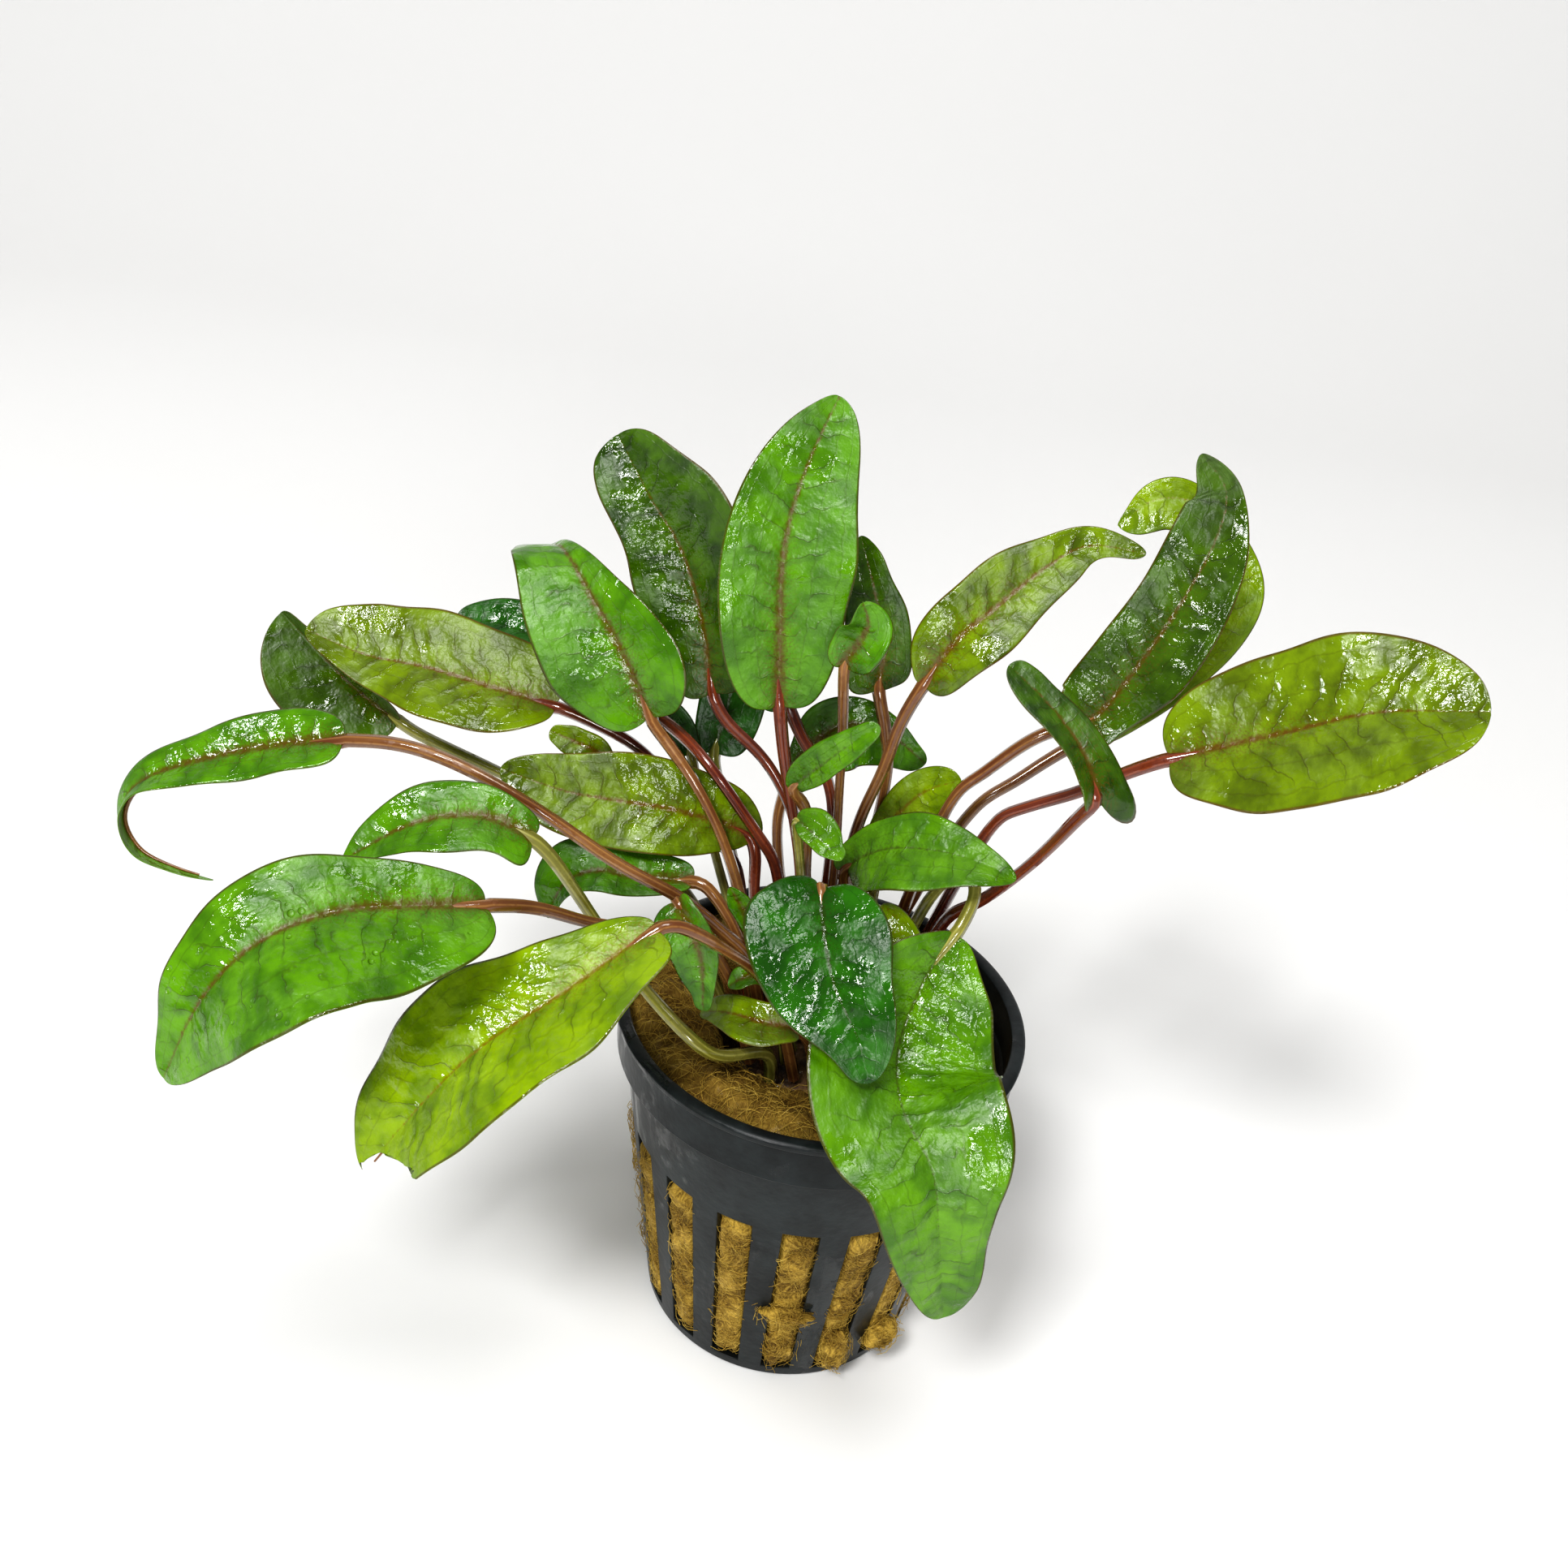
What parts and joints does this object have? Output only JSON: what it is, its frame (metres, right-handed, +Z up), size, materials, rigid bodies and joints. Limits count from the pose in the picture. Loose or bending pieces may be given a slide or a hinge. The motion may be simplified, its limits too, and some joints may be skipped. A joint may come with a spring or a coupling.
{
  "type": "potted cryptocoryne",
  "caption": "Bushy potted water plant: broad ribbed leaves on slender stalks rise from a crown in rock wool, held in a black slotted net pot.",
  "frame": {"origin": "centre of the pot's underside", "axes": "+Z up along the pot's axis, +X to the right in the picture, +Y away from the picture's camera"},
  "size_m": [0.1524, 0.0741, 0.1285],
  "materials": {
    "leaf_bright": "wet, glossy bright green leaf with a brown midrib",
    "leaf_deep": "wet, glossy dark green leaf",
    "leaf_olive": "wet, glossy olive leaf with a red-brown midrib",
    "pot_plastic": "injection-moulded black polypropylene, wet in places",
    "wool_fibre": "wet golden-brown mineral fibre",
    "crown_root": "rough brown rootstock"
  },
  "bodies": {
    "root": {"pot": "pot_plastic", "rock_wool": "wool_fibre", "crown": "crown_root", "leaf_tall_centre": "leaf_bright", "leaf_tall_back_left": "leaf_deep", "leaf_left_folded_tip": "leaf_bright", "leaf_left_olive_long": "leaf_olive", "leaf_left_hidden": "leaf_deep", "leaf_left_pale_small": "leaf_olive", "leaf_far_left_folded": "leaf_olive", "leaf_back_dark": "leaf_deep", "leaf_back_dark_small": "leaf_deep", "leaf_far_left_drooping": "leaf_bright", "leaf_left_red_rib": "leaf_olive", "leaf_left_low": "leaf_bright", "leaf_left_hanging_tip": "leaf_deep", "leaf_left_wide_front": "leaf_bright", "leaf_front_left_olive": "leaf_olive", "leaf_rim_arched": "leaf_bright", "leaf_rim_young": "leaf_bright", "leaf_over_wool": "leaf_olive", "leaf_front_dark_wide": "leaf_deep", "leaf_front_light": "leaf_bright", "leaf_front_over_rim": "leaf_deep", "leaf_right_bright": "leaf_bright", "leaf_right_young_yellow": "leaf_bright", "leaf_middle_small": "leaf_bright", "leaf_middle_young": "leaf_bright", "leaf_middle_back": "leaf_deep", "leaf_curled": "leaf_bright", "leaf_back_olive": "leaf_olive", "leaf_right_long_tip": "leaf_olive", "leaf_right_twisted": "leaf_deep", "leaf_right_arched_back": "leaf_bright", "leaf_right_edge_on": "leaf_deep", "leaf_far_right_wide": "leaf_bright", "leaf_front_sprout": "leaf_bright", "leaf_behind_centre": "leaf_deep"}
  },
  "joints": []
}
